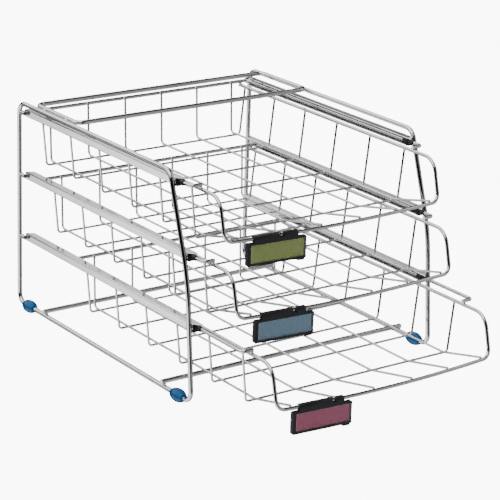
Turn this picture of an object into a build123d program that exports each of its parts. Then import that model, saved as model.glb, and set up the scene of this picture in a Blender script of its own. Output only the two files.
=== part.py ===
"""Letter tray stack: two bent-rod side frames carry three pull-out wire drawers on channel rails.

Millimetres, +Z up, +X to the right and -Y to the front, where the drawers come out. The origin
is on the standing surface, under the middle of the object with its drawers as they are drawn.
"""
from build123d import *
import os
from math import asin, atan, atan2, cos, degrees, hypot, radians, sin, sqrt, tan

# Side frames: closed loops of round rod, one on each side
frame_half_width = 146.0     # middle of the object to the centre of a frame's rod
frame_rod_r = 2.5
rail_height = 218.0          # bottom rail to top rail, centre to centre
top_rail_depth = 281.0       # rear post to the corner of the top rail and the front post
knee_depth = 314.4           # where the front post bends from its slope towards upright
knee_height = 119.4          # above the bottom rail
bottom_rail_depth = 325.0
rear_bottom_bend_r = 10.0
rear_top_bend_r = 12.0
front_top_bend_r = 13.0
knee_bend_r = 200.0
front_bottom_bend_r = 10.0

# Top spreader: a flat rounded ring that holds the two top rails apart
ring_rod_r = 2.5
ring_rear_depth = 28.0       # rear post to the ring's rear bar
ring_length = 80.0
ring_bend_r = 8.0
ring_lift = 2.5              # ring centre above the top rail's centre

# Floor bars: straight rods that lie across the bottom rails
floor_bar_r = 2.5
rear_floor_bar_depth = 54.0
front_floor_bar_depth = 277.0

# Feet: egg-shaped beads threaded on the bottom rails
foot_length = 19.0
foot_r = 6.75
foot_end_r = 3.9
foot_flat = 0.6              # depth of the flat on the underside
foot_corner_gap = 1.8        # bead to the start of the rail's bend
foot_bore_clearance = 0.1

# Channel rails: bent sheet, open towards the drawer
channel_height = 8.5
channel_width = 8.0
channel_sheet = 0.9
channel_bend_r = 1.3         # outside of the fold
channel_rear_depth = 8.0
channel_mitre = 5.0          # slanted rear end of the flanges
channel_web_past_post = 0.5  # front end of the web, in front of the front post's centre
channel_tab_length = 7.5     # top flange's pointed end, in front of the web's end
top_level_drop = 10.2        # top rail to the top channels' centre
level_pitch = 67.2

# Stubs that weld the rear end of each channel to the rear post
stub_r = 2.2
stub_overlap = 3.0           # length of the stub along the channel's web

# End caps: plugs in the front ends of the channels, with a nozzle for the drawer's wire
cap_plug_length = 6.0
cap_plug_clearance = 0.05
cap_plate = 2.6
cap_plate_width = 8.8
cap_edge_r = 1.0
nozzle_length = 6.0
nozzle_root_r = 3.2
nozzle_tip_r = 2.6
nozzle_clearance = 0.25      # round the drawer's wire

# Drawer wires
runner_r = 1.9
rim_r = 1.9
mesh_wire_r = 1.2
weld_gap = 0.02              # wires that are welded together touch along a line
runner_inset = 5.2           # channel's outer face to the runner's centre
runner_length = 299.0        # rear bar to the turned-in front ends
runner_bend_r = 4.0
runner_tip_past_rim = 1.5
rim_inset = 10.1             # runner's side to the rim's side, centre to centre
nose_reach = 32.0            # turned-in ends to the corner of the rim and its drop
nose_bend_r = 17.0
front_drop = 41.2            # rim to the front bar
front_lean = 10.2            # how far the front bar's ends stand in front of the rim's corner
front_bow = 14.2             # apex of the front bar's bow, before it is rounded
front_bow_share = 0.86       # part of each half of the front bar that lies in the bow's arc
front_corner_bend_r = 9.0

# Cross wires: U-shaped wires that hang from the rim and carry the floor
cross_wire_count = 6
first_cross_wire = 13.7      # behind the runner's turned-in ends
last_cross_wire = 10.3       # in front of the rear bar
basket_depth = 53.2          # rim to the cross wires, centre to centre
cross_wire_inset = 5.4       # how far each leg slants inwards
cross_wire_bend_r = 4.0

# Floor wires: run from the rear bar down, along the floor and up on to the front bar
floor_wire_count = 6
outer_floor_wire_inset = 13.4  # rim's side to the outermost floor wire
rear_slant = 2.5             # foot of the rear wires in front of their tops
floor_bend_r = 4.5
ramp_start = 10.0            # behind the runner's turned-in ends
ramp_bend_r = 20.0
floor_wire_overhang = 1.6    # wire tip past its weld on the front bar

# Glides: moulded on the rear corners of the runner, they slide in the channels
glide_clearance = 0.3
glide_mouth = 0.6            # glide's inner face, inside the channel's edge
glide_edge_r = 0.8
stop_gap = 0.3               # left at both ends of a drawer's travel

# Label holders: clipped on the front bars
sleeve_length = 48.0
sleeve_wall = 1.0
sleeve_clearance = 0.45      # the front bar is bowed and the sleeve is straight
sleeve_mouth_angle = 70.0    # opening of the clip, towards the rear
slot_clearance = 0.6         # each side of the floor wire whose tip passes through the sleeve
slot_drop = 1.2              # front bar's centre to the lower end of the slot for that tip
label_offset = 1.0           # plate's middle, to the right of the sleeve's middle
label_width = 65.0
label_height = 22.5
label_thickness = 4.4
label_drop = 3.0             # front bar's centre to the top edge of the holder
label_setback = 1.0          # holder's back face behind the front bar's centre
label_corner_r = 1.8
card_width = 58.8
card_height = 17.7
card_thickness = 0.4
pocket_clearance = 0.2       # round the card, and under it
pocket_offset = 1.0          # pocket's middle, to the right of the plate's middle
pocket_depth = 2.6
window_thickness = 1.4
window_clearance = 0.05
window_bevel = 0.5
latch_length = 8.0
latch_height = 1.8
latch_depth = 3.4
latch_inset = 1.6            # latch to the plate's right edge
latch_corner_r = 0.9

# Drawers as drawn, and where each one stands: rear post to the drawer's rear bar
drawer_names = ["bottom", "middle", "top"]
drawer_depths = [95.3, 29.8, 6.1]
label_insets = [46.0, 47.7, 53.2]  # rim's left side to the middle of each label's sleeve


def front_post_depth(height):
    """Depth of the front post's centre at a height above the bottom rail."""
    if height > knee_height:
        share = (height - knee_height) / (rail_height - knee_height)
        return knee_depth + share * (top_rail_depth - knee_depth)
    share = height / knee_height
    return bottom_rail_depth + share * (knee_depth - bottom_rail_depth)


# Places that follow from the sizes above
rail_z = foot_r - foot_flat
channel_half_width = frame_half_width - frame_rod_r - weld_gap
runner_half_width = channel_half_width - runner_inset
rim_half_width = runner_half_width - rim_inset
cross_wire_pitch = (runner_length - first_cross_wire - last_cross_wire) / (cross_wire_count - 1)
floor_wire_pitch = 2 * (rim_half_width - outer_floor_wire_inset) / (floor_wire_count - 1)
label_centres = [inset - rim_half_width for inset in label_insets]
rim_drop = runner_r + rim_r + weld_gap
front_reach = runner_length + nose_reach + front_lean
front_half_turn = atan(front_bow / rim_half_width)
front_bow_tangent = front_bow_share * hypot(front_bow, rim_half_width)
front_bow_r = front_bow_tangent / tan(front_half_turn)
front_bow_centre = front_reach + front_bow - front_bow_r / cos(front_half_turn)
overall_front = drawer_depths[0] + front_bow_centre + front_bow_r + rim_r
origin_depth = (overall_front - frame_rod_r) / 2
top_level = rail_height - top_level_drop
level_heights = [top_level - (len(drawer_names) - 1 - i) * level_pitch for i in range(len(drawer_names))]
floor_wire_places = [(i - (floor_wire_count - 1) / 2) * floor_wire_pitch for i in range(floor_wire_count)]
glide_r = channel_height / 2 - channel_sheet - glide_clearance
foot_inset = foot_corner_gap + foot_length / 2
rear_foot_depth = rear_bottom_bend_r + foot_inset
front_corner_angle = atan2(knee_height, bottom_rail_depth - knee_depth)
front_foot_depth = bottom_rail_depth - front_bottom_bend_r / tan(front_corner_angle / 2) - foot_inset


def place(x, depth, height):
    """Point from X, depth in front of the rear posts and height above the bottom rails."""
    return Vector(x, origin_depth - depth, rail_z + height)


def rod(path, radius):
    """Round rod along a path."""
    return sweep(Plane(origin=path @ 0, z_dir=path % 0) * Circle(radius), path=path)


def straight_rod(start, end, radius):
    """Round rod between two points."""
    return rod(Line(start, end), radius)


def side_frame(side):
    """Closed loop of rod: rear post, top rail, kneed front post and bottom rail."""
    x = side * frame_half_width
    corners = [(0, 0), (0, rail_height), (top_rail_depth, rail_height), (knee_depth, knee_height)]
    corners.append((bottom_rail_depth, 0))
    points = [place(x, depth, height) for depth, height in corners]
    start = (points[0] + points[-1]) / 2
    radii = [rear_bottom_bend_r, rear_top_bend_r, front_top_bend_r, knee_bend_r]
    radii.append(front_bottom_bend_r)
    path = FilletPolyline(start, *points, start, radius=[0] + radii)
    return rod(path, frame_rod_r)


def top_spreader():
    """Flat rounded ring whose sides lie against the inner sides of the top rails."""
    touch = frame_rod_r + ring_rod_r + weld_gap
    half_width = frame_half_width - sqrt(touch**2 - ring_lift**2)
    height = rail_height + ring_lift
    rear = ring_rear_depth
    front = ring_rear_depth + ring_length
    start = place(0, rear, height)
    corners = [(-half_width, rear), (-half_width, front), (half_width, front), (half_width, rear)]
    points = [place(x, depth, height) for x, depth in corners]
    path = FilletPolyline(start, *points, start, radius=[0] + [ring_bend_r] * len(points))
    return rod(path, ring_rod_r)


def floor_bar(depth):
    """Straight rod that lies across both bottom rails."""
    end = frame_half_width + frame_rod_r
    height = frame_rod_r + floor_bar_r + weld_gap
    return straight_rod(place(-end, depth, height), place(end, depth, height), floor_bar_r)


def foot(side, depth):
    """Egg-shaped bead threaded on a bottom rail, with a small flat to stand on."""
    half = foot_length / 2
    bore_r = frame_rod_r + foot_bore_clearance
    outline = Polyline((bore_r, -half), (foot_end_r, -half))
    outline += ThreePointArc((foot_end_r, -half), (foot_r, 0), (foot_end_r, half))
    outline += Polyline((foot_end_r, half), (bore_r, half), (bore_r, -half))
    bead = revolve(make_face(outline), Axis.Y)
    ground = Box(4 * foot_r, 2 * foot_length, foot_r, align=(Align.CENTER, Align.CENTER, Align.MAX))
    return Pos(place(side * frame_half_width, depth, 0)) * (bead - Pos(0, 0, -rail_z) * ground)


def channel(side, height):
    """Bent sheet channel, open towards the drawer, with a pointed end to its top flange."""
    web_end = front_post_depth(height) + channel_web_past_post
    tip = web_end + channel_tab_length
    length = tip - channel_rear_depth
    outer = Rectangle(channel_width, channel_height, align=(Align.MAX, Align.CENTER))
    outer = fillet(outer.vertices().group_by(Axis.X)[-1], channel_bend_r)
    inside_width = channel_width - channel_sheet
    inside_height = channel_height - 2 * channel_sheet
    inner = Rectangle(inside_width, inside_height, align=(Align.MAX, Align.CENTER))
    inner = fillet(inner.vertices().group_by(Axis.X)[-1], channel_bend_r - channel_sheet)
    profile = outer - Pos(-channel_sheet, 0) * inner
    body = extrude(Plane.XZ * profile, length)
    web_length = web_end - channel_rear_depth
    under_tab = Box(3 * channel_width, channel_tab_length * 2, channel_height,
                    align=(Align.CENTER, Align.MAX, Align.MAX))
    body -= Pos(0, -web_length, channel_height / 2 - channel_sheet) * under_tab
    tab = Polyline((0, -web_length), (0, -length), (-channel_width, -length), close=True)
    mitre = Polyline((-channel_width, 0), (0, 0), (-channel_width, -channel_mitre), close=True)
    cutters = [make_face(Plane.XY * corner) for corner in (tab, mitre)]
    for cutter in cutters:
        body -= Pos(0, 0, -channel_height) * extrude(cutter, 2 * channel_height)
    body = Pos(place(channel_half_width, channel_rear_depth, height)) * body
    return body if side > 0 else mirror(body, Plane.YZ)


def channel_stubs(side):
    """Three short stubs that join the channels' rear ends to the rear post."""
    x = side * (channel_half_width + stub_r + weld_gap)
    front = channel_rear_depth + stub_overlap
    stubs = []
    for height in level_heights:
        rear = sqrt((frame_rod_r + weld_gap)**2 - (frame_half_width - abs(x))**2) + weld_gap
        peg = straight_rod(place(x, rear, height), place(x, front, height), stub_r)
        post = straight_rod(place(side * frame_half_width, 0, height - 2 * stub_r),
                            place(side * frame_half_width, 0, height + 2 * stub_r),
                            frame_rod_r + weld_gap)
        stubs.append(peg - post)
    return Compound(children=stubs)


def end_cap(side, height):
    """Plug in a channel's front end, with a face plate and a tapered nozzle."""
    bore_x = runner_half_width - channel_half_width
    inset = channel_sheet + cap_plug_clearance
    plug = Box(channel_width - inset, cap_plug_length + weld_gap, channel_height - 2 * inset,
               align=(Align.MAX, Align.MIN, Align.CENTER))
    plug = fillet(plug.edges().filter_by(Axis.Y), channel_bend_r - channel_sheet)
    plate = Box(cap_plate_width, cap_plate, channel_height - channel_sheet - weld_gap,
                align=(Align.MAX, Align.MAX, Align.MIN))
    plate = fillet(plate.edges().filter_by(Axis.Y), cap_edge_r)
    nozzle = Cone(nozzle_root_r, nozzle_tip_r, nozzle_length,
                  align=(Align.CENTER, Align.CENTER, Align.MIN))
    cap = Pos(-inset, -weld_gap, 0) * plug
    cap += Pos(0, -weld_gap, -channel_height / 2) * plate
    cap += Pos(bore_x, -weld_gap - cap_plate, 0) * Rot(X=90) * nozzle
    bore_length = 4 * (cap_plug_length + cap_plate + nozzle_length)
    cap -= Pos(bore_x, 0, 0) * Rot(X=90) * Cylinder(runner_r + nozzle_clearance, bore_length)
    cap = Pos(place(channel_half_width, front_post_depth(height) + channel_web_past_post, height)) * cap
    return cap if side > 0 else mirror(cap, Plane.YZ)


def runner(depth, height):
    """Wire of a drawer that runs in both channels: rear bar, two arms and turned-in ends."""
    front = depth + runner_length
    tip = rim_half_width - runner_tip_past_rim
    corners = [(-tip, front), (-runner_half_width, front), (-runner_half_width, depth)]
    corners += [(-x, y) for x, y in reversed(corners)]
    points = [place(x, y, height) for x, y in corners]
    return rod(FilletPolyline(*points, radius=runner_bend_r), runner_r)


def rim(depth, height):
    """Open wire loop: two side rails that turn down into a low, bowed front bar."""
    level = height - rim_drop
    nose = depth + runner_length + nose_reach
    low = level - front_drop
    half = [(-rim_half_width, depth, level), (-rim_half_width, nose, level)]
    half.append((-rim_half_width, depth + front_reach, low))
    corners = half + [(0, depth + front_reach + front_bow, low)]
    corners += [(-x, y, z) for x, y, z in reversed(half)]
    bends = [nose_bend_r, front_corner_bend_r]
    path = FilletPolyline(*[place(*corner) for corner in corners],
                          radius=bends + [front_bow_r] + bends[::-1])
    return rod(path, rim_r)


def front_bar_depth(x):
    """Depth of the front bar's centre in front of the rear bar, at X."""
    if abs(x) < front_bow_r * sin(front_half_turn):
        return front_bow_centre + sqrt(front_bow_r**2 - x**2)
    return front_reach + (rim_half_width - abs(x)) * tan(front_half_turn)


def cross_wire(depth, height):
    """U-shaped wire whose legs end under the side rails."""
    top = height - rim_drop - rim_r - weld_gap
    floor = height - rim_drop - basket_depth
    foot_x = rim_half_width - cross_wire_inset
    corners = [(-rim_half_width, top), (-foot_x, floor), (foot_x, floor), (rim_half_width, top)]
    points = [place(x, depth, z) for x, z in corners]
    return rod(FilletPolyline(*points, radius=cross_wire_bend_r), mesh_wire_r)


def floor_wire(x, depth, height):
    """Wire from the rear bar down to the floor, forwards and up on to the front bar."""
    floor = height - rim_drop - basket_depth + 2 * mesh_wire_r + weld_gap
    rear = depth + runner_r + mesh_wire_r + weld_gap
    ramp = depth + runner_length - ramp_start
    bar_depth = depth + front_bar_depth(x)
    rise = height - rim_drop - front_drop - floor
    touch = rim_r + mesh_wire_r + weld_gap
    slope = atan2(rise, bar_depth - ramp) + asin(touch / hypot(rise, bar_depth - ramp))
    end_depth = bar_depth - touch * sin(slope) + floor_wire_overhang * cos(slope)
    end_height = floor + rise + touch * cos(slope) + floor_wire_overhang * sin(slope)
    corners = [(rear, height + mesh_wire_r), (rear + rear_slant, floor), (ramp, floor)]
    corners.append((end_depth, end_height))
    points = [place(x, y, z) for y, z in corners]
    return rod(FilletPolyline(*points, radius=[floor_bend_r, ramp_bend_r]), mesh_wire_r)


def cross_wires(depth, height):
    """All cross wires of a drawer, from the front to the rear."""
    front = depth + runner_length - first_cross_wire
    places = [front - i * cross_wire_pitch for i in range(cross_wire_count)]
    return Compound(children=[cross_wire(place, height) for place in places])


def floor_wires(depth, height):
    """All floor wires of a drawer, from left to right."""
    return Compound(children=[floor_wire(x, depth, height) for x in floor_wire_places])


def glide(side, depth, height, wire):
    """Round shoe on a rear corner of the runner, with room to slide in the channel."""
    outer = channel_half_width - channel_sheet - glide_clearance
    inner = channel_half_width - channel_width + glide_mouth
    shoe = Rot(Y=90) * Cylinder(glide_r, outer - inner)
    shoe = fillet(shoe.edges().filter_by(GeomType.CIRCLE), glide_edge_r)
    return Pos(place(side * (outer + inner) / 2, depth, height)) * shoe - wire


def label_place(x, depth, height):
    """Place of a label: origin in its sleeve's middle, X along the front bar and Z up."""
    sag = front_bow_r - sqrt(front_bow_r**2 - sleeve_length**2 / 4)
    origin = place(x, depth + front_bar_depth(x) - sag / 2, height - rim_drop - front_drop)
    return Location(origin) * Rot(Z=degrees(asin(x / front_bow_r)))


def label_holder(label_x):
    """Plate with a pocket for the card, under a split sleeve that clips on the front bar."""
    plate = Box(label_width, label_thickness, label_height, align=(Align.CENTER, Align.MAX, Align.MAX))
    plate = fillet(plate.edges().filter_by(Axis.Y), label_corner_r)
    holder = Pos(label_offset, label_setback, -label_drop) * plate
    bore_r = rim_r + sleeve_clearance
    sleeve_r = bore_r + sleeve_wall
    neck = Box(sleeve_length, label_thickness - label_setback, label_drop,
               align=(Align.CENTER, Align.MAX, Align.MAX))
    holder += Rot(Y=90) * Cylinder(sleeve_r, sleeve_length)
    holder += neck
    holder -= Rot(Y=90) * Cylinder(bore_r, 2 * sleeve_length)
    reach = 3 * sleeve_r
    spread = reach * tan(radians(sleeve_mouth_angle / 2))
    mouth = make_face(Plane.YZ * Polyline((0, 0), (reach, -spread), (reach, spread), close=True))
    holder -= Pos(-sleeve_length, 0, 0) * extrude(mouth, 2 * sleeve_length, dir=(1, 0, 0))
    slot_x = min(floor_wire_places, key=lambda x: abs(x - label_x)) - label_x
    slot = Box(2 * (mesh_wire_r + slot_clearance), 4 * sleeve_r, 4 * sleeve_r,
               align=(Align.CENTER, Align.CENTER, Align.MIN))
    holder -= Pos(slot_x, 0, -slot_drop) * slot
    holder -= pocket_middle() * Box(card_width + 2 * pocket_clearance, 2 * pocket_depth,
                                    card_height + 2 * pocket_clearance)
    holder -= window_seat() * Box(window_width() + 2 * window_clearance,
                                  2 * (window_thickness + window_clearance),
                                  card_height + 2 * pocket_clearance,
                                  align=(Align.MIN, Align.CENTER, Align.CENTER))
    latch = Box(latch_length, latch_depth, 2 * latch_height, align=(Align.MAX, Align.CENTER, Align.CENTER))
    latch = fillet(latch.edges().filter_by(Axis.Y), latch_corner_r)
    return holder + Pos(label_offset + label_width / 2 - latch_inset,
                        label_setback - label_thickness / 2, -label_drop - label_height) * latch


def pocket_middle():
    """Place of the pocket's middle on the holder's front face."""
    return Pos(label_offset + pocket_offset, label_setback - label_thickness,
               -label_drop - label_height / 2)


def window_seat():
    """Place of the left end of the window's seat on the holder's front face."""
    return pocket_middle() * Pos(-card_width / 2 - pocket_clearance, 0, 0)


def window_width():
    """Window's width: from the pocket's left side to the holder's right edge."""
    return card_width / 2 + pocket_clearance - pocket_offset + label_width / 2 - window_clearance


def label_window():
    """Clear cover over the card, with a bevelled face, that shows along the right edge."""
    pane = Box(window_width(), window_thickness, card_height + 2 * (pocket_clearance - window_clearance),
               align=(Align.MIN, Align.MIN, Align.CENTER))
    pane = chamfer(pane.faces().sort_by(Axis.Y)[0].edges(), window_bevel)
    return window_seat() * Pos(window_clearance, 0, 0) * pane


def label_card():
    """Plain card at the back of the pocket."""
    card = Box(card_width, card_thickness, card_height, align=(Align.CENTER, Align.MAX, Align.CENTER))
    return pocket_middle() * Pos(0, pocket_depth - window_clearance, 0) * card


def frame_parts():
    """Every piece of the standing frame, by name."""
    parts = {"top_spreader": top_spreader(),
             "rear_floor_bar": floor_bar(rear_floor_bar_depth),
             "front_floor_bar": floor_bar(front_floor_bar_depth)}
    for side, name in ((-1, "left"), (1, "right")):
        parts[f"{name}_side_frame"] = side_frame(side)
        parts[f"{name}_channel_stubs"] = channel_stubs(side)
        parts[f"{name}_rear_foot"] = foot(side, rear_foot_depth)
        parts[f"{name}_front_foot"] = foot(side, front_foot_depth)
        for level, height in zip(drawer_names, level_heights):
            parts[f"{name}_{level}_channel"] = channel(side, height)
            parts[f"{name}_{level}_end_cap"] = end_cap(side, height)
    return parts


def drawer_parts(level, depth, height, label_x):
    """Every piece of one drawer, by name."""
    wire = runner(depth, height)
    label = label_place(label_x, depth, height)
    return {f"{level}_runner": wire,
            f"{level}_rim": rim(depth, height),
            f"{level}_cross_wires": cross_wires(depth, height),
            f"{level}_floor_wires": floor_wires(depth, height),
            f"{level}_left_glide": glide(-1, depth, height, wire),
            f"{level}_right_glide": glide(1, depth, height, wire),
            f"{level}_label_holder": label * label_holder(label_x),
            f"{level}_label_window": label * label_window(),
            f"{level}_label_card": label * label_card()}


model = frame_parts()
for level, depth, height, label_x in zip(drawer_names, drawer_depths, level_heights, label_centres):
    model.update(drawer_parts(level, depth, height, label_x))
    web_end = front_post_depth(height) + channel_web_past_post
    inward = web_end + weld_gap + cap_plate + nozzle_length + runner_bend_r - runner_length + stop_gap
    outward = web_end - cap_plug_length - glide_r - stop_gap
    hinge = label_place(label_x, depth, height)
    print("travel", level, round(inward - depth, 1), round(outward - depth, 1),
          "label at", [round(v, 2) for v in hinge.position], "turned", round(hinge.orientation.Z, 2))
print("frame reaches from y", round(origin_depth, 2), "bottom rail at z", round(rail_z, 2),
      "bow radius", round(front_bow_r, 1))

os.makedirs("parts", exist_ok=True)
for name, shape in model.items():
    export_step(shape, f"parts/{name}.step")
whole = Compound(children=list(model.values())).bounding_box()
print(len(model), "parts, from", whole.min, "to", whole.max)
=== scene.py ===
"""Letter tray stack with drawers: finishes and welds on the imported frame, in a photo studio."""

import math

import bmesh
import bpy
from mathutils import Matrix, Vector


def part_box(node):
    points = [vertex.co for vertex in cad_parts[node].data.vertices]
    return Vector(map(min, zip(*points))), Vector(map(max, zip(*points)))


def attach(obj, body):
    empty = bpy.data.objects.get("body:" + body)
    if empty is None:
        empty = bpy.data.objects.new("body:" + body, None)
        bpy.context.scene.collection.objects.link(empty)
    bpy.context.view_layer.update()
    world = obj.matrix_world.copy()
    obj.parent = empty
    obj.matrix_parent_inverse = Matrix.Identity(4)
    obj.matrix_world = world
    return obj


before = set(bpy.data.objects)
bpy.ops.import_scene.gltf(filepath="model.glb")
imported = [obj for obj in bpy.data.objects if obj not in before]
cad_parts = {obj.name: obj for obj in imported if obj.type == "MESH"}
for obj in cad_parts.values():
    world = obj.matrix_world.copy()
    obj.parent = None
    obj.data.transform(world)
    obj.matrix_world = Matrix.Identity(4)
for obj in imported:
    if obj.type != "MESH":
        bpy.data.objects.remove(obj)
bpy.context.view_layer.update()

bl_info = {
    "name": "Letter Tray Stack",
    "version": (1, 0, 0),
    "blender": (4, 5, 0),
    "location": "View3D > Sidebar > Tray Stack",
    "description": "Dresses a chrome letter tray stack and sets up its studio",
    "category": "Object",
}

LEVELS = ("bottom", "middle", "top")
SIDES = ("left", "right")
FRAME_BODY = "frame"
RIGHT = Vector((1, 0, 0))
UP = Vector((0, 0, 1))
FORWARD = Vector((0, -1, 0))

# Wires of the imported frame
MESH_WIRE_RADIUS = 0.0012
DRAWER_ROD_RADIUS = 0.0019      # rim and runner
FRAME_ROD_RADIUS = 0.0025
WIRES_EACH_WAY = 6

# Proportions of the welds
RIM_WELD_GROWTH = 1.35          # length on the rim, to the length between two thin wires
CROSSING_RISE = 1.3             # height where thin wires cross, to the plain height
HANGER_RISE = 0.5               # height where a cross wire hangs from the rim, to the weld's length
ARM_RISE = 1.2                  # height at the front end of the runner, to the plain height
REAR_WELD_SHIFT = 0.25          # place in front of the rear bar's middle, to the weld's length
RAIL_WELD_WIDTH = 0.8           # width on a rail or post, to the weld's length
CHANNEL_RISE = 0.6              # height at the point of a channel, to the plain height
SPREADER_WELDS = (0.25, 0.75)   # places along each side of the spreader

# Finishes
NOISE_SPAN = (0.3, 0.7)         # noise values that reach the two ends of a range
TINT_SPAN = (0.32, 0.68)        # noise values that reach the darkest and the lightest colour
BUMP_DEPTH = 0.0001
SHARP_ANGLE = math.radians(40)
BEVEL_STEPS = 3
MERGE_DISTANCE = 0.00001

# Studio
FLOOR_REACH = 6.0               # from its middle to its edges
LIGHT_TARGET = (0, 0, 0.1)
KEY_PLACE = (-1.0, -1.1, 2.2)
KEY_SIZE = (1.8, 1.8)
FILL_PLACE = (1.9, -0.6, 1.4)
FILL_SIZE = (1.2, 1.2)
SENSOR_WIDTH = 36.0             # in millimetres
LIT_SIDE_RISE = 0.2             # how far the lit side leans up, to how far it points left

# The tent that only mirror reflections see. Each pair holds how far a ray points along a direction,
# from -1 to 1, and the light there.
# Towards the camera: a dark opening, and then a dark back
TENT_FRONT = ((-1.0, 1.0), (0.74, 1.0), (0.84, 0.005), (1.0, 0.002))
TENT_BACK = ((-1.0, 0.002), (-0.52, 0.005), (-0.42, 1.0), (1.0, 1.0))
# Upwards: a lit roof over the dark back
TENT_TOP = ((-1.0, 0.0), (0.20, 0.0), (0.28, 0.42), (0.8, 1.0))
# Towards the lit side: white there, black past the middle and dim grey across from it
TENT_SIDE = ((-1.0, 0.24), (-0.70, 0.13), (-0.45, 0.01), (-0.06, 0.02), (0.05, 1.0), (1.0, 1.0))
# Upwards: the glow of the table on the dark side, and a dark seam round the horizon
TENT_TABLE = ((-1.0, 0.45), (-0.5, 0.35), (-0.36, 0.0), (1.0, 0.0))
TENT_SEAM = ((-1.0, 1.0), (-0.26, 1.0), (-0.20, 0.01), (0.18, 0.01), (0.24, 1.0), (1.0, 1.0))
# Towards the right: no seam there
TENT_PLAIN_SIDE = ((-1.0, 0.0), (0.1, 0.0), (0.35, 1.0), (1.0, 1.0))


# Settings

class TrayFinishes(bpy.types.PropertyGroup):
    """Colours and gloss of the finishes."""

    chrome_colour: bpy.props.FloatVectorProperty(
        name="Chrome", description="Tint of the plated wires", subtype="COLOR",
        default=(0.57, 0.57, 0.58))
    chrome_roughness: bpy.props.FloatProperty(
        name="Chrome roughness", description="Blur of the plated wires", subtype="FACTOR",
        min=0, max=1, default=0.06)
    sheet_colour: bpy.props.FloatVectorProperty(
        name="Sheet", description="Tint of the plated channels", subtype="COLOR",
        default=(0.74, 0.73, 0.74))
    sheet_roughness: bpy.props.FloatProperty(
        name="Sheet roughness", description="Blur of the plated channels", subtype="FACTOR",
        min=0, max=1, default=0.10)
    black_colour: bpy.props.FloatVectorProperty(
        name="Black plastic", description="Caps, glides and label holders", subtype="COLOR",
        default=(0.007, 0.008, 0.010))
    bead_colour: bpy.props.FloatVectorProperty(
        name="Blue plastic", description="Beads under the frame", subtype="COLOR",
        default=(0.0, 0.085, 0.25))
    window_colour: bpy.props.FloatVectorProperty(
        name="Window", description="Clear label windows", subtype="COLOR",
        default=(0.95, 0.97, 0.97))
    top_card_colour: bpy.props.FloatVectorProperty(
        name="Top card", description="Card of the top drawer", subtype="COLOR",
        default=(0.28, 0.34, 0.045))
    middle_card_colour: bpy.props.FloatVectorProperty(
        name="Middle card", description="Card of the middle drawer", subtype="COLOR",
        default=(0.14, 0.27, 0.40))
    bottom_card_colour: bpy.props.FloatVectorProperty(
        name="Bottom card", description="Card of the bottom drawer", subtype="COLOR",
        default=(0.43, 0.05, 0.14))


class TrayDetails(bpy.types.PropertyGroup):
    """Sizes of the welds and of the rounded edges."""

    wire_weld: bpy.props.FloatProperty(
        name="Wire weld", description="Length of a weld between two thin wires", unit="LENGTH",
        default=0.0030)
    rod_weld: bpy.props.FloatProperty(
        name="Rod weld", description="Length of a weld on the rods", unit="LENGTH", default=0.0056)
    weld_height: bpy.props.FloatProperty(
        name="Weld height", description="Half thickness of a weld, as a share of its length",
        subtype="FACTOR", min=0, max=1, default=0.22)
    channel_point: bpy.props.FloatProperty(
        name="Channel point", description="Front post's centre to the point of a channel",
        unit="LENGTH", default=0.008)
    plastic_edge: bpy.props.FloatProperty(
        name="Plastic edge", description="Rounding of moulded edges", unit="LENGTH", default=0.00035)
    sheet_edge: bpy.props.FloatProperty(
        name="Sheet edge", description="Rounding of cut sheet edges", unit="LENGTH", default=0.00016)


class TrayStudio(bpy.types.PropertyGroup):
    """Camera, floor and light."""

    camera_place: bpy.props.FloatVectorProperty(
        name="Camera place", description="In the frame of the stack", unit="LENGTH",
        default=(-1.201777, -1.632634, 0.792687))
    camera_yaw: bpy.props.FloatProperty(
        name="Yaw", description="Turned from +Y towards +X", subtype="ANGLE",
        default=math.radians(36.178))
    camera_pitch: bpy.props.FloatProperty(
        name="Pitch", description="Above the horizon", subtype="ANGLE",
        default=math.radians(-18.785))
    camera_roll: bpy.props.FloatProperty(
        name="Roll", description="About the line of sight", subtype="ANGLE",
        default=math.radians(1.963))
    camera_lens: bpy.props.FloatProperty(
        name="Lens", description="Focal length on a 36 mm sensor, in millimetres", unit="CAMERA",
        default=153.13)
    floor_colour: bpy.props.FloatVectorProperty(
        name="Floor", description="Pale floor", subtype="COLOR", default=(0.86, 0.86, 0.86))
    floor_glow: bpy.props.FloatProperty(
        name="Floor glow", description="Light that the floor gives off", default=9.0)
    room_light: bpy.props.FloatProperty(
        name="Room light", description="Even light from all round", default=0.85)
    tent_light: bpy.props.FloatProperty(
        name="Tent light", description="Brightness of what the chrome reflects", default=2.5)
    key_power: bpy.props.FloatProperty(
        name="Key light", description="Power of the large soft light", unit="POWER", default=16.0)
    fill_power: bpy.props.FloatProperty(
        name="Fill light", description="Power of the side light", unit="POWER", default=5.0)


# Materials

def shader(name):
    """New material with its node tree, its principled shader and object coordinates."""
    material = bpy.data.materials.new(name)
    material.use_nodes = True
    tree = material.node_tree
    principled = tree.nodes["Principled BSDF"]
    coordinates = tree.nodes.new("ShaderNodeTexCoord")
    return material, tree, principled, coordinates.outputs["Object"]


def noise(tree, place, scale, detail=3.0, stretch=None):
    """Noise in object coordinates, in features per metre, optionally stretched per axis."""
    if stretch:
        mapping = tree.nodes.new("ShaderNodeMapping")
        mapping.inputs["Scale"].default_value = stretch
        tree.links.new(place, mapping.inputs["Vector"])
        place = mapping.outputs["Vector"]
    node = tree.nodes.new("ShaderNodeTexNoise")
    node.inputs["Scale"].default_value = scale
    node.inputs["Detail"].default_value = detail
    tree.links.new(place, node.inputs["Vector"])
    return node.outputs["Fac"]


def scaled(colour, factor):
    """Colour times a factor."""
    return tuple(min(1.0, channel * factor) for channel in colour)


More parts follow.
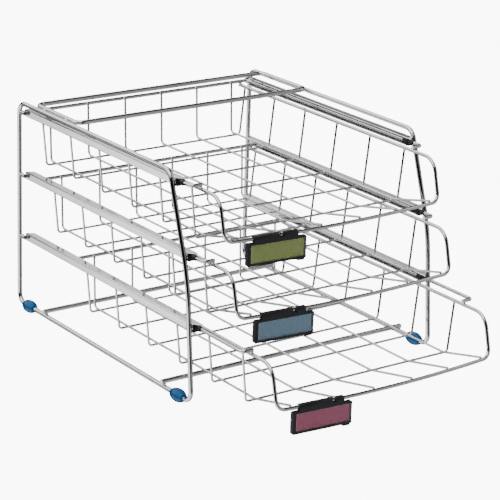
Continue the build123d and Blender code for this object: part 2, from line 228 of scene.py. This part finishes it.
def vary_colour(tree, principled, value, colour, dark, light):
    """Base colour from a noise value, between the colour times two factors."""
    ramp = tree.nodes.new("ShaderNodeValToRGB")
    for i, factor in enumerate((dark, light)):
        ramp.color_ramp.elements[i].position = TINT_SPAN[i]
        ramp.color_ramp.elements[i].color = (*scaled(colour, factor), 1)
    tree.links.new(value, ramp.inputs["Fac"])
    tree.links.new(ramp.outputs["Color"], principled.inputs["Base Color"])


def vary_gloss(tree, principled, value, low, high):
    """Roughness from a noise value, between two ends."""
    span = tree.nodes.new("ShaderNodeMapRange")
    span.inputs["From Min"].default_value = NOISE_SPAN[0]
    span.inputs["From Max"].default_value = NOISE_SPAN[1]
    span.inputs["To Min"].default_value = low
    span.inputs["To Max"].default_value = high
    tree.links.new(value, span.inputs["Value"])
    tree.links.new(span.outputs["Result"], principled.inputs["Roughness"])


def bump(tree, principled, value, strength):
    """Height from a noise value on the principled shader's normal."""
    node = tree.nodes.new("ShaderNodeBump")
    node.inputs["Strength"].default_value = strength
    node.inputs["Distance"].default_value = BUMP_DEPTH
    tree.links.new(value, node.inputs["Height"])
    tree.links.new(node.outputs["Normal"], principled.inputs["Normal"])


def chrome_wire(finishes):
    """Bright plated wire with faint handling marks and a slight ripple."""
    material, tree, principled, place = shader("chrome_wire")
    principled.inputs["Metallic"].default_value = 1.0
    smudges = noise(tree, place, scale=45.0)
    vary_colour(tree, principled, smudges, finishes.chrome_colour, dark=0.9, light=1.06)
    blur = finishes.chrome_roughness
    vary_gloss(tree, principled, noise(tree, place, scale=180.0), low=blur * 0.6, high=blur * 1.6)
    bump(tree, principled, noise(tree, place, scale=260.0, detail=2.0), strength=0.06)
    return material


def chrome_sheet(finishes):
    """Plated strip, drawn through rollers: long faint lines along it."""
    material, tree, principled, place = shader("chrome_sheet")
    principled.inputs["Metallic"].default_value = 0.8
    clouds = noise(tree, place, scale=30.0)
    vary_colour(tree, principled, clouds, finishes.sheet_colour, dark=0.92, light=1.05)
    blur = finishes.sheet_roughness
    lines = noise(tree, place, scale=900.0, detail=4.0, stretch=(1.0, 0.012, 1.0))
    vary_gloss(tree, principled, lines, low=blur * 0.7, high=blur * 1.4)
    bump(tree, principled, lines, strength=0.10)
    return material


def moulded(name, colour, blur, grain, sheen):
    """Moulded plastic with fine grain and a slightly uneven gloss."""
    material, tree, principled, place = shader(name)
    principled.inputs["Specular IOR Level"].default_value = sheen
    vary_colour(tree, principled, noise(tree, place, scale=120.0), colour, dark=0.85, light=1.2)
    vary_gloss(tree, principled, noise(tree, place, scale=420.0), low=blur * 0.8, high=blur * 1.25)
    bump(tree, principled, noise(tree, place, scale=2600.0, detail=2.0), strength=grain)
    return material


def clear_plastic(finishes):
    """Clear moulded cover with fine scuffs."""
    material, tree, principled, place = shader("clear_plastic")
    principled.inputs["Base Color"].default_value = (*finishes.window_colour, 1)
    principled.inputs["Transmission Weight"].default_value = 1.0
    principled.inputs["IOR"].default_value = 1.45
    scuffs = noise(tree, place, scale=700.0, detail=5.0, stretch=(1.0, 1.0, 0.25))
    vary_gloss(tree, principled, scuffs, low=0.02, high=0.12)
    return material


def card_stock(name, colour):
    """Dyed card with fine fibres."""
    material, tree, principled, place = shader(name)
    fibre = noise(tree, place, scale=1500.0, detail=6.0, stretch=(0.35, 1.0, 1.0))
    vary_colour(tree, principled, fibre, colour, dark=0.86, light=1.12)
    principled.inputs["Roughness"].default_value = 0.8
    bump(tree, principled, fibre, strength=0.35)
    return material


# Pieces of the frame

def dress(node, material):
    """Gives a node of the frame its finish."""
    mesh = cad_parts[node].data
    mesh.materials.clear()
    mesh.materials.append(material)
    for face in mesh.polygons:
        face.material_index = 0


def round_edges(node, width):
    """Rounds the sharp edges of a node of the frame, which stays as it is underneath."""
    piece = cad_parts[node]
    weld = piece.modifiers.new("join", "WELD")
    weld.merge_threshold = MERGE_DISTANCE
    bevel = piece.modifiers.new("round", "BEVEL")
    bevel.width = width
    bevel.segments = BEVEL_STEPS
    bevel.limit_method = "ANGLE"
    bevel.angle_limit = SHARP_ANGLE
    bevel.harden_normals = True


# Welds

def evenly(low, high, count):
    """Values from low to high in equal steps."""
    return [low + (high - low) * i / (count - 1) for i in range(count)]


def drawer_welds(level, details):
    """Beads of one drawer: floor wires on cross wires and runner, cross wires and runner on the rim."""
    cross_low, cross_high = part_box(f"{level}_cross_wires")
    floor_low, floor_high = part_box(f"{level}_floor_wires")
    rim_low, rim_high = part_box(f"{level}_rim")
    runner_low, runner_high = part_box(f"{level}_runner")
    rows = evenly(cross_low.y + MESH_WIRE_RADIUS, cross_high.y - MESH_WIRE_RADIUS, WIRES_EACH_WAY)
    columns = evenly(floor_low.x + MESH_WIRE_RADIUS, floor_high.x - MESH_WIRE_RADIUS, WIRES_EACH_WAY)
    rim_sides = (rim_low.x + DRAWER_ROD_RADIUS, rim_high.x - DRAWER_ROD_RADIUS)
    rear_bar = runner_high.y - DRAWER_ROD_RADIUS
    arm_ends = runner_low.y + DRAWER_ROD_RADIUS
    contact = cross_low.z + 2 * MESH_WIRE_RADIUS
    thin = details.wire_weld
    thick = thin * RIM_WELD_GROWTH
    rise = thin * 2 * details.weld_height
    crossing = (thin, thin, rise * CROSSING_RISE)
    hanger = (thick, thin, thick * HANGER_RISE)
    beads = []
    for y in rows:
        for x in columns:
            beads.append((Vector((x, y, contact)), crossing, RIGHT, UP))
        for x in rim_sides:
            beads.append((Vector((x, y, cross_high.z)), hanger, FORWARD, UP))
    for x in columns:
        place = Vector((x, rear_bar - DRAWER_ROD_RADIUS, floor_high.z - MESH_WIRE_RADIUS))
        beads.append((place, crossing, UP, -FORWARD))
    for x in rim_sides:
        place = Vector((x, rear_bar - thick * REAR_WELD_SHIFT, runner_low.z))
        beads.append((place, (thick, thick, rise), FORWARD, UP))
        place = Vector((x, arm_ends, runner_low.z))
        beads.append((place, (thick, thick, rise * ARM_RISE), FORWARD, UP))
    return beads


def frame_welds(details):
    """Beads of the frame: floor bars and spreader on the rails, channels on the front posts."""
    size = details.rod_weld
    rise = size * 2 * details.weld_height
    width = size * RAIL_WELD_WIDTH
    ring_low, ring_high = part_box("top_spreader")
    bars = [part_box(bar) for bar in ("rear_floor_bar", "front_floor_bar")]
    beads = []
    for side in SIDES:
        left = side == "left"
        rail_low, rail_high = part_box(f"{side}_side_frame")
        middle = (rail_low.x + rail_high.x) / 2
        rail = Vector((middle, 0, rail_high.z - FRAME_ROD_RADIUS))
        ring_x = ring_low.x + FRAME_ROD_RADIUS if left else ring_high.x - FRAME_ROD_RADIUS
        ring = Vector((ring_x, 0, (ring_low.z + ring_high.z) / 2))
        out = (ring - rail).normalized()
        for share in SPREADER_WELDS:
            place = (rail + ring) / 2 + Vector((0, ring_low.y + (ring_high.y - ring_low.y) * share, 0))
            beads.append((place, (size, width, rise), FORWARD, out))
        for level in LEVELS:
            low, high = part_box(f"{side}_{level}_channel")
            face = low.x if left else high.x
            place = Vector((face, low.y + details.channel_point, (low.z + high.z) / 2))
            beads.append((place, (size, width, rise * CHANNEL_RISE), UP, RIGHT))
        for low, high in bars:
            place = Vector((middle, (low.y + high.y) / 2, low.z))
            beads.append((place, (size, size, rise), FORWARD, UP))
    return beads


def weld_mesh(name, beads, body, material):
    """One piece with all the welds of a body. Each bead has a place, a size, and where it runs and rises."""
    shape = bmesh.new()
    for place, size, along, out in beads:
        across = along.cross(out).normalized()
        turn = Matrix((along, across, out)).transposed().to_4x4()
        turn.translation = place
        bead = bmesh.ops.create_icosphere(shape, subdivisions=3, radius=0.5)["verts"]
        bmesh.ops.transform(shape, matrix=turn @ Matrix.Diagonal((*size, 1)), verts=bead)
    mesh = bpy.data.meshes.new(name)
    shape.to_mesh(mesh)
    shape.free()
    mesh.materials.append(material)
    mesh.shade_smooth()
    piece = bpy.data.objects.new(name, mesh)
    bpy.context.scene.collection.objects.link(piece)
    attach(piece, body)


# Studio

def sight(studio):
    """The camera's line of sight, and its level way to the right."""
    yaw, pitch = studio.camera_yaw, studio.camera_pitch
    ahead = Vector((math.sin(yaw) * math.cos(pitch), math.cos(yaw) * math.cos(pitch), math.sin(pitch)))
    right = Vector((math.cos(yaw), -math.sin(yaw), 0))
    return ahead, right


def build_floor(studio):
    """Large pale floor. It glows evenly, but no reflection and no other light from it reaches the stack."""
    shape = bmesh.new()
    bmesh.ops.create_grid(shape, x_segments=1, y_segments=1, size=FLOOR_REACH)
    mesh = bpy.data.meshes.new("floor")
    shape.to_mesh(mesh)
    shape.free()
    floor = bpy.data.objects.new("floor", mesh)
    bpy.context.scene.collection.objects.link(floor)
    material, tree, principled, place = shader("floor")
    clouds = noise(tree, place, scale=3.0)
    vary_colour(tree, principled, clouds, studio.floor_colour, dark=0.99, light=1.01)
    principled.inputs["Roughness"].default_value = 0.75
    principled.inputs["Specular IOR Level"].default_value = 0.15
    principled.inputs["Emission Color"].default_value = (1, 1, 1, 1)
    principled.inputs["Emission Strength"].default_value = studio.floor_glow
    mesh.materials.append(material)
    floor.visible_glossy = False
    floor.visible_diffuse = False
    floor.visible_transmission = False


def facing(tree, ray, direction, stops):
    """Grey by how far a ray points along a direction: pairs of that share, from -1 to 1, and a level."""
    dot = tree.nodes.new("ShaderNodeVectorMath")
    dot.operation = "DOT_PRODUCT"
    dot.inputs[1].default_value = direction
    tree.links.new(ray, dot.inputs[0])
    share = tree.nodes.new("ShaderNodeMapRange")
    share.inputs["From Min"].default_value = -1.0
    tree.links.new(dot.outputs["Value"], share.inputs["Value"])
    ramp = tree.nodes.new("ShaderNodeValToRGB")
    elements = ramp.color_ramp.elements
    elements.remove(elements[1])
    for i, (along, level) in enumerate(stops):
        position = (along + 1) / 2
        element = elements[0] if i == 0 else elements.new(position)
        element.position = position
        element.color = (level, level, level, 1)
    tree.links.new(share.outputs["Result"], ramp.inputs["Fac"])
    return ramp.outputs["Color"]


def joined(tree, operation, first, second):
    """Two grey levels joined by an operation."""
    node = tree.nodes.new("ShaderNodeVectorMath")
    node.operation = operation
    tree.links.new(first, node.inputs[0])
    tree.links.new(second, node.inputs[1])
    return node.outputs["Vector"]


def tent(tree, studio):
    """Grey levels of the tent, in directions that stay fixed round the stack."""
    ray = tree.nodes.new("ShaderNodeTexCoord").outputs["Generated"]
    ahead, right = sight(studio)
    opening = -ahead
    lit_side = (LIT_SIDE_RISE * UP - right).normalized()
    roof = facing(tree, ray, UP, TENT_TOP)
    back = joined(tree, "MAXIMUM", facing(tree, ray, opening, TENT_BACK), roof)
    depth = joined(tree, "MULTIPLY", facing(tree, ray, opening, TENT_FRONT), back)
    table = facing(tree, ray, UP, TENT_TABLE)
    sides = joined(tree, "MAXIMUM", facing(tree, ray, lit_side, TENT_SIDE), table)
    plain_side = facing(tree, ray, right, TENT_PLAIN_SIDE)
    seam = joined(tree, "MAXIMUM", facing(tree, ray, UP, TENT_SEAM), plain_side)
    return joined(tree, "MULTIPLY", joined(tree, "MULTIPLY", depth, seam), sides)


def white_light(tree, strength):
    """Background node with even white light."""
    node = tree.nodes.new("ShaderNodeBackground")
    node.inputs["Color"].default_value = (1, 1, 1, 1)
    node.inputs["Strength"].default_value = strength
    return node


def either(tree, switch, off, on):
    """One of two lights by a switch of 0 or 1."""
    node = tree.nodes.new("ShaderNodeMixShader")
    tree.links.new(switch, node.inputs["Fac"])
    tree.links.new(off, node.inputs[1])
    tree.links.new(on, node.inputs[2])
    return node.outputs["Shader"]


def build_world(studio):
    """Even white room. Mirror reflections see the tent, and the camera sees a backdrop like the floor."""
    world = bpy.data.worlds.new("studio")
    bpy.context.scene.world = world
    world.use_nodes = True
    tree = world.node_tree
    tree.nodes.clear()
    rays = tree.nodes.new("ShaderNodeLightPath")
    mirrored = tree.nodes.new("ShaderNodeMath")
    mirrored.operation = "SUBTRACT"
    mirrored.use_clamp = True
    tree.links.new(rays.outputs["Is Glossy Ray"], mirrored.inputs[0])
    tree.links.new(rays.outputs["Is Transmission Ray"], mirrored.inputs[1])
    room = white_light(tree, studio.room_light)
    reflected = white_light(tree, studio.tent_light)
    tree.links.new(tent(tree, studio), reflected.inputs["Color"])
    backdrop = white_light(tree, studio.floor_glow + studio.room_light)
    light = either(tree, mirrored.outputs["Value"],
                   room.outputs["Background"], reflected.outputs["Background"])
    seen = either(tree, rays.outputs["Is Camera Ray"], light, backdrop.outputs["Background"])
    output = tree.nodes.new("ShaderNodeOutputWorld")
    tree.links.new(seen, output.inputs["Surface"])


def area_light(name, place, size, power):
    """Soft rectangular light that faces the stack."""
    data = bpy.data.lights.new(name, "AREA")
    data.shape = "RECTANGLE"
    data.size, data.size_y = size
    data.energy = power
    light = bpy.data.objects.new(name, data)
    light.location = place
    light.rotation_mode = "QUATERNION"
    light.rotation_quaternion = (Vector(LIGHT_TARGET) - Vector(place)).to_track_quat("-Z", "Y")
    bpy.context.scene.collection.objects.link(light)


def build_lights(studio):
    """Large soft light from above the front left, and a weaker one from the right."""
    area_light("key_light", KEY_PLACE, KEY_SIZE, studio.key_power)
    area_light("fill_light", FILL_PLACE, FILL_SIZE, studio.fill_power)


def build_camera(studio):
    """Camera at the viewing angle of the product photograph."""
    ahead, right = sight(studio)
    roll = studio.camera_roll
    up = right.cross(ahead)
    side = right * math.cos(roll) + up * math.sin(roll)
    top = up * math.cos(roll) - right * math.sin(roll)
    data = bpy.data.cameras.new("photo_camera")
    data.lens = studio.camera_lens
    data.sensor_width = SENSOR_WIDTH
    camera = bpy.data.objects.new("photo_camera", data)
    turn = Matrix((side, top, -ahead)).transposed().to_4x4()
    turn.translation = Vector(studio.camera_place)
    camera.matrix_world = turn
    bpy.context.scene.collection.objects.link(camera)
    bpy.context.scene.camera = camera


# Operators

class TRAY_OT_wires(bpy.types.Operator):
    """Plates the rods and wires of the frame and the drawers"""

    bl_idname = "tray.wires"
    bl_label = "Plate the wires"

    def execute(self, context):
        chrome = chrome_wire(context.scene.tray_finishes)
        nodes = ["top_spreader", "rear_floor_bar", "front_floor_bar"]
        nodes += [f"{side}_{part}" for side in SIDES for part in ("side_frame", "channel_stubs")]
        drawer_parts = ("runner", "rim", "cross_wires", "floor_wires")
        nodes += [f"{level}_{part}" for level in LEVELS for part in drawer_parts]
        for node in nodes:
            dress(node, chrome)
        return {"FINISHED"}


class TRAY_OT_channels(bpy.types.Operator):
    """Plates the channel rails and rounds their cut edges"""

    bl_idname = "tray.channels"
    bl_label = "Plate the channels"

    def execute(self, context):
        sheet = chrome_sheet(context.scene.tray_finishes)
        edge = context.scene.tray_details.sheet_edge
        for side in SIDES:
            for level in LEVELS:
                dress(f"{side}_{level}_channel", sheet)
                round_edges(f"{side}_{level}_channel", edge)
        return {"FINISHED"}


class TRAY_OT_fittings(bpy.types.Operator):
    """Finishes the end caps, glides and beads"""

    bl_idname = "tray.fittings"
    bl_label = "Finish the plastic fittings"

    def execute(self, context):
        finishes = context.scene.tray_finishes
        edge = context.scene.tray_details.plastic_edge
        black = moulded("black_plastic", finishes.black_colour, blur=0.34, grain=0.25, sheen=0.35)
        blue = moulded("blue_plastic", finishes.bead_colour, blur=0.24, grain=0.08, sheen=0.22)
        for side in SIDES:
            for level in LEVELS:
                dress(f"{side}_{level}_end_cap", black)
                round_edges(f"{side}_{level}_end_cap", edge)
                dress(f"{level}_{side}_glide", black)
            for end in ("rear", "front"):
                dress(f"{side}_{end}_foot", blue)
        return {"FINISHED"}


class TRAY_OT_labels(bpy.types.Operator):
    """Finishes the label holders, their windows and cards"""

    bl_idname = "tray.labels"
    bl_label = "Finish the labels"

    def execute(self, context):
        finishes = context.scene.tray_finishes
        edge = context.scene.tray_details.plastic_edge
        black = moulded("holder_plastic", finishes.black_colour, blur=0.4, grain=0.35, sheen=0.35)
        clear = clear_plastic(finishes)
        for level in LEVELS:
            card = card_stock(f"{level}_card", getattr(finishes, f"{level}_card_colour"))
            dress(f"{level}_label_holder", black)
            round_edges(f"{level}_label_holder", edge)
            dress(f"{level}_label_window", clear)
            dress(f"{level}_label_card", card)
        return {"FINISHED"}


class TRAY_OT_welds(bpy.types.Operator):
    """Adds the resistance welds where wires cross"""

    bl_idname = "tray.welds"
    bl_label = "Weld the wires"

    def execute(self, context):
        chrome = bpy.data.materials["chrome_wire"]
        details = context.scene.tray_details
        for level in LEVELS:
            beads = drawer_welds(level, details)
            weld_mesh(f"{level}_drawer_welds", beads, f"{level}_drawer", chrome)
        weld_mesh("frame_welds", frame_welds(details), FRAME_BODY, chrome)
        return {"FINISHED"}


class TRAY_OT_stage(bpy.types.Operator):
    """Sets up the floor, the lights and the camera"""

    bl_idname = "tray.stage"
    bl_label = "Set up the studio"

    def execute(self, context):
        studio = context.scene.tray_studio
        build_floor(studio)
        build_world(studio)
        build_lights(studio)
        build_camera(studio)
        return {"FINISHED"}


class TRAY_PT_panel(bpy.types.Panel):
    """Lists the steps that dress the stack, and their settings"""

    bl_label = "Letter Tray Stack"
    bl_idname = "TRAY_PT_panel"
    bl_space_type = "VIEW_3D"
    bl_region_type = "UI"
    bl_category = "Tray Stack"

    def draw(self, context):
        scene = context.scene
        layout = self.layout
        for step in STEPS:
            layout.operator(step.bl_idname)
        for group in (scene.tray_finishes, scene.tray_details, scene.tray_studio):
            box = layout.box()
            for name in group.bl_rna.properties.keys():
                if name not in ("rna_type", "name"):
                    box.prop(group, name)


STEPS = (TRAY_OT_wires, TRAY_OT_channels, TRAY_OT_fittings, TRAY_OT_labels, TRAY_OT_welds, TRAY_OT_stage)
GROUPS = (TrayFinishes, TrayDetails, TrayStudio)


def register():
    """Adds the classes and the settings to Blender."""
    for each in (*GROUPS, *STEPS, TRAY_PT_panel):
        bpy.utils.register_class(each)
    bpy.types.Scene.tray_finishes = bpy.props.PointerProperty(type=TrayFinishes)
    bpy.types.Scene.tray_details = bpy.props.PointerProperty(type=TrayDetails)
    bpy.types.Scene.tray_studio = bpy.props.PointerProperty(type=TrayStudio)


def unregister():
    """Takes the settings and the classes out again."""
    del bpy.types.Scene.tray_studio
    del bpy.types.Scene.tray_details
    del bpy.types.Scene.tray_finishes
    for each in reversed((*GROUPS, *STEPS, TRAY_PT_panel)):
        bpy.utils.unregister_class(each)


def main():
    """Runs every step."""
    register()
    bpy.ops.tray.wires()
    bpy.ops.tray.channels()
    bpy.ops.tray.fittings()
    bpy.ops.tray.labels()
    bpy.ops.tray.welds()
    bpy.ops.tray.stage()


if __name__ == "__main__":
    main()
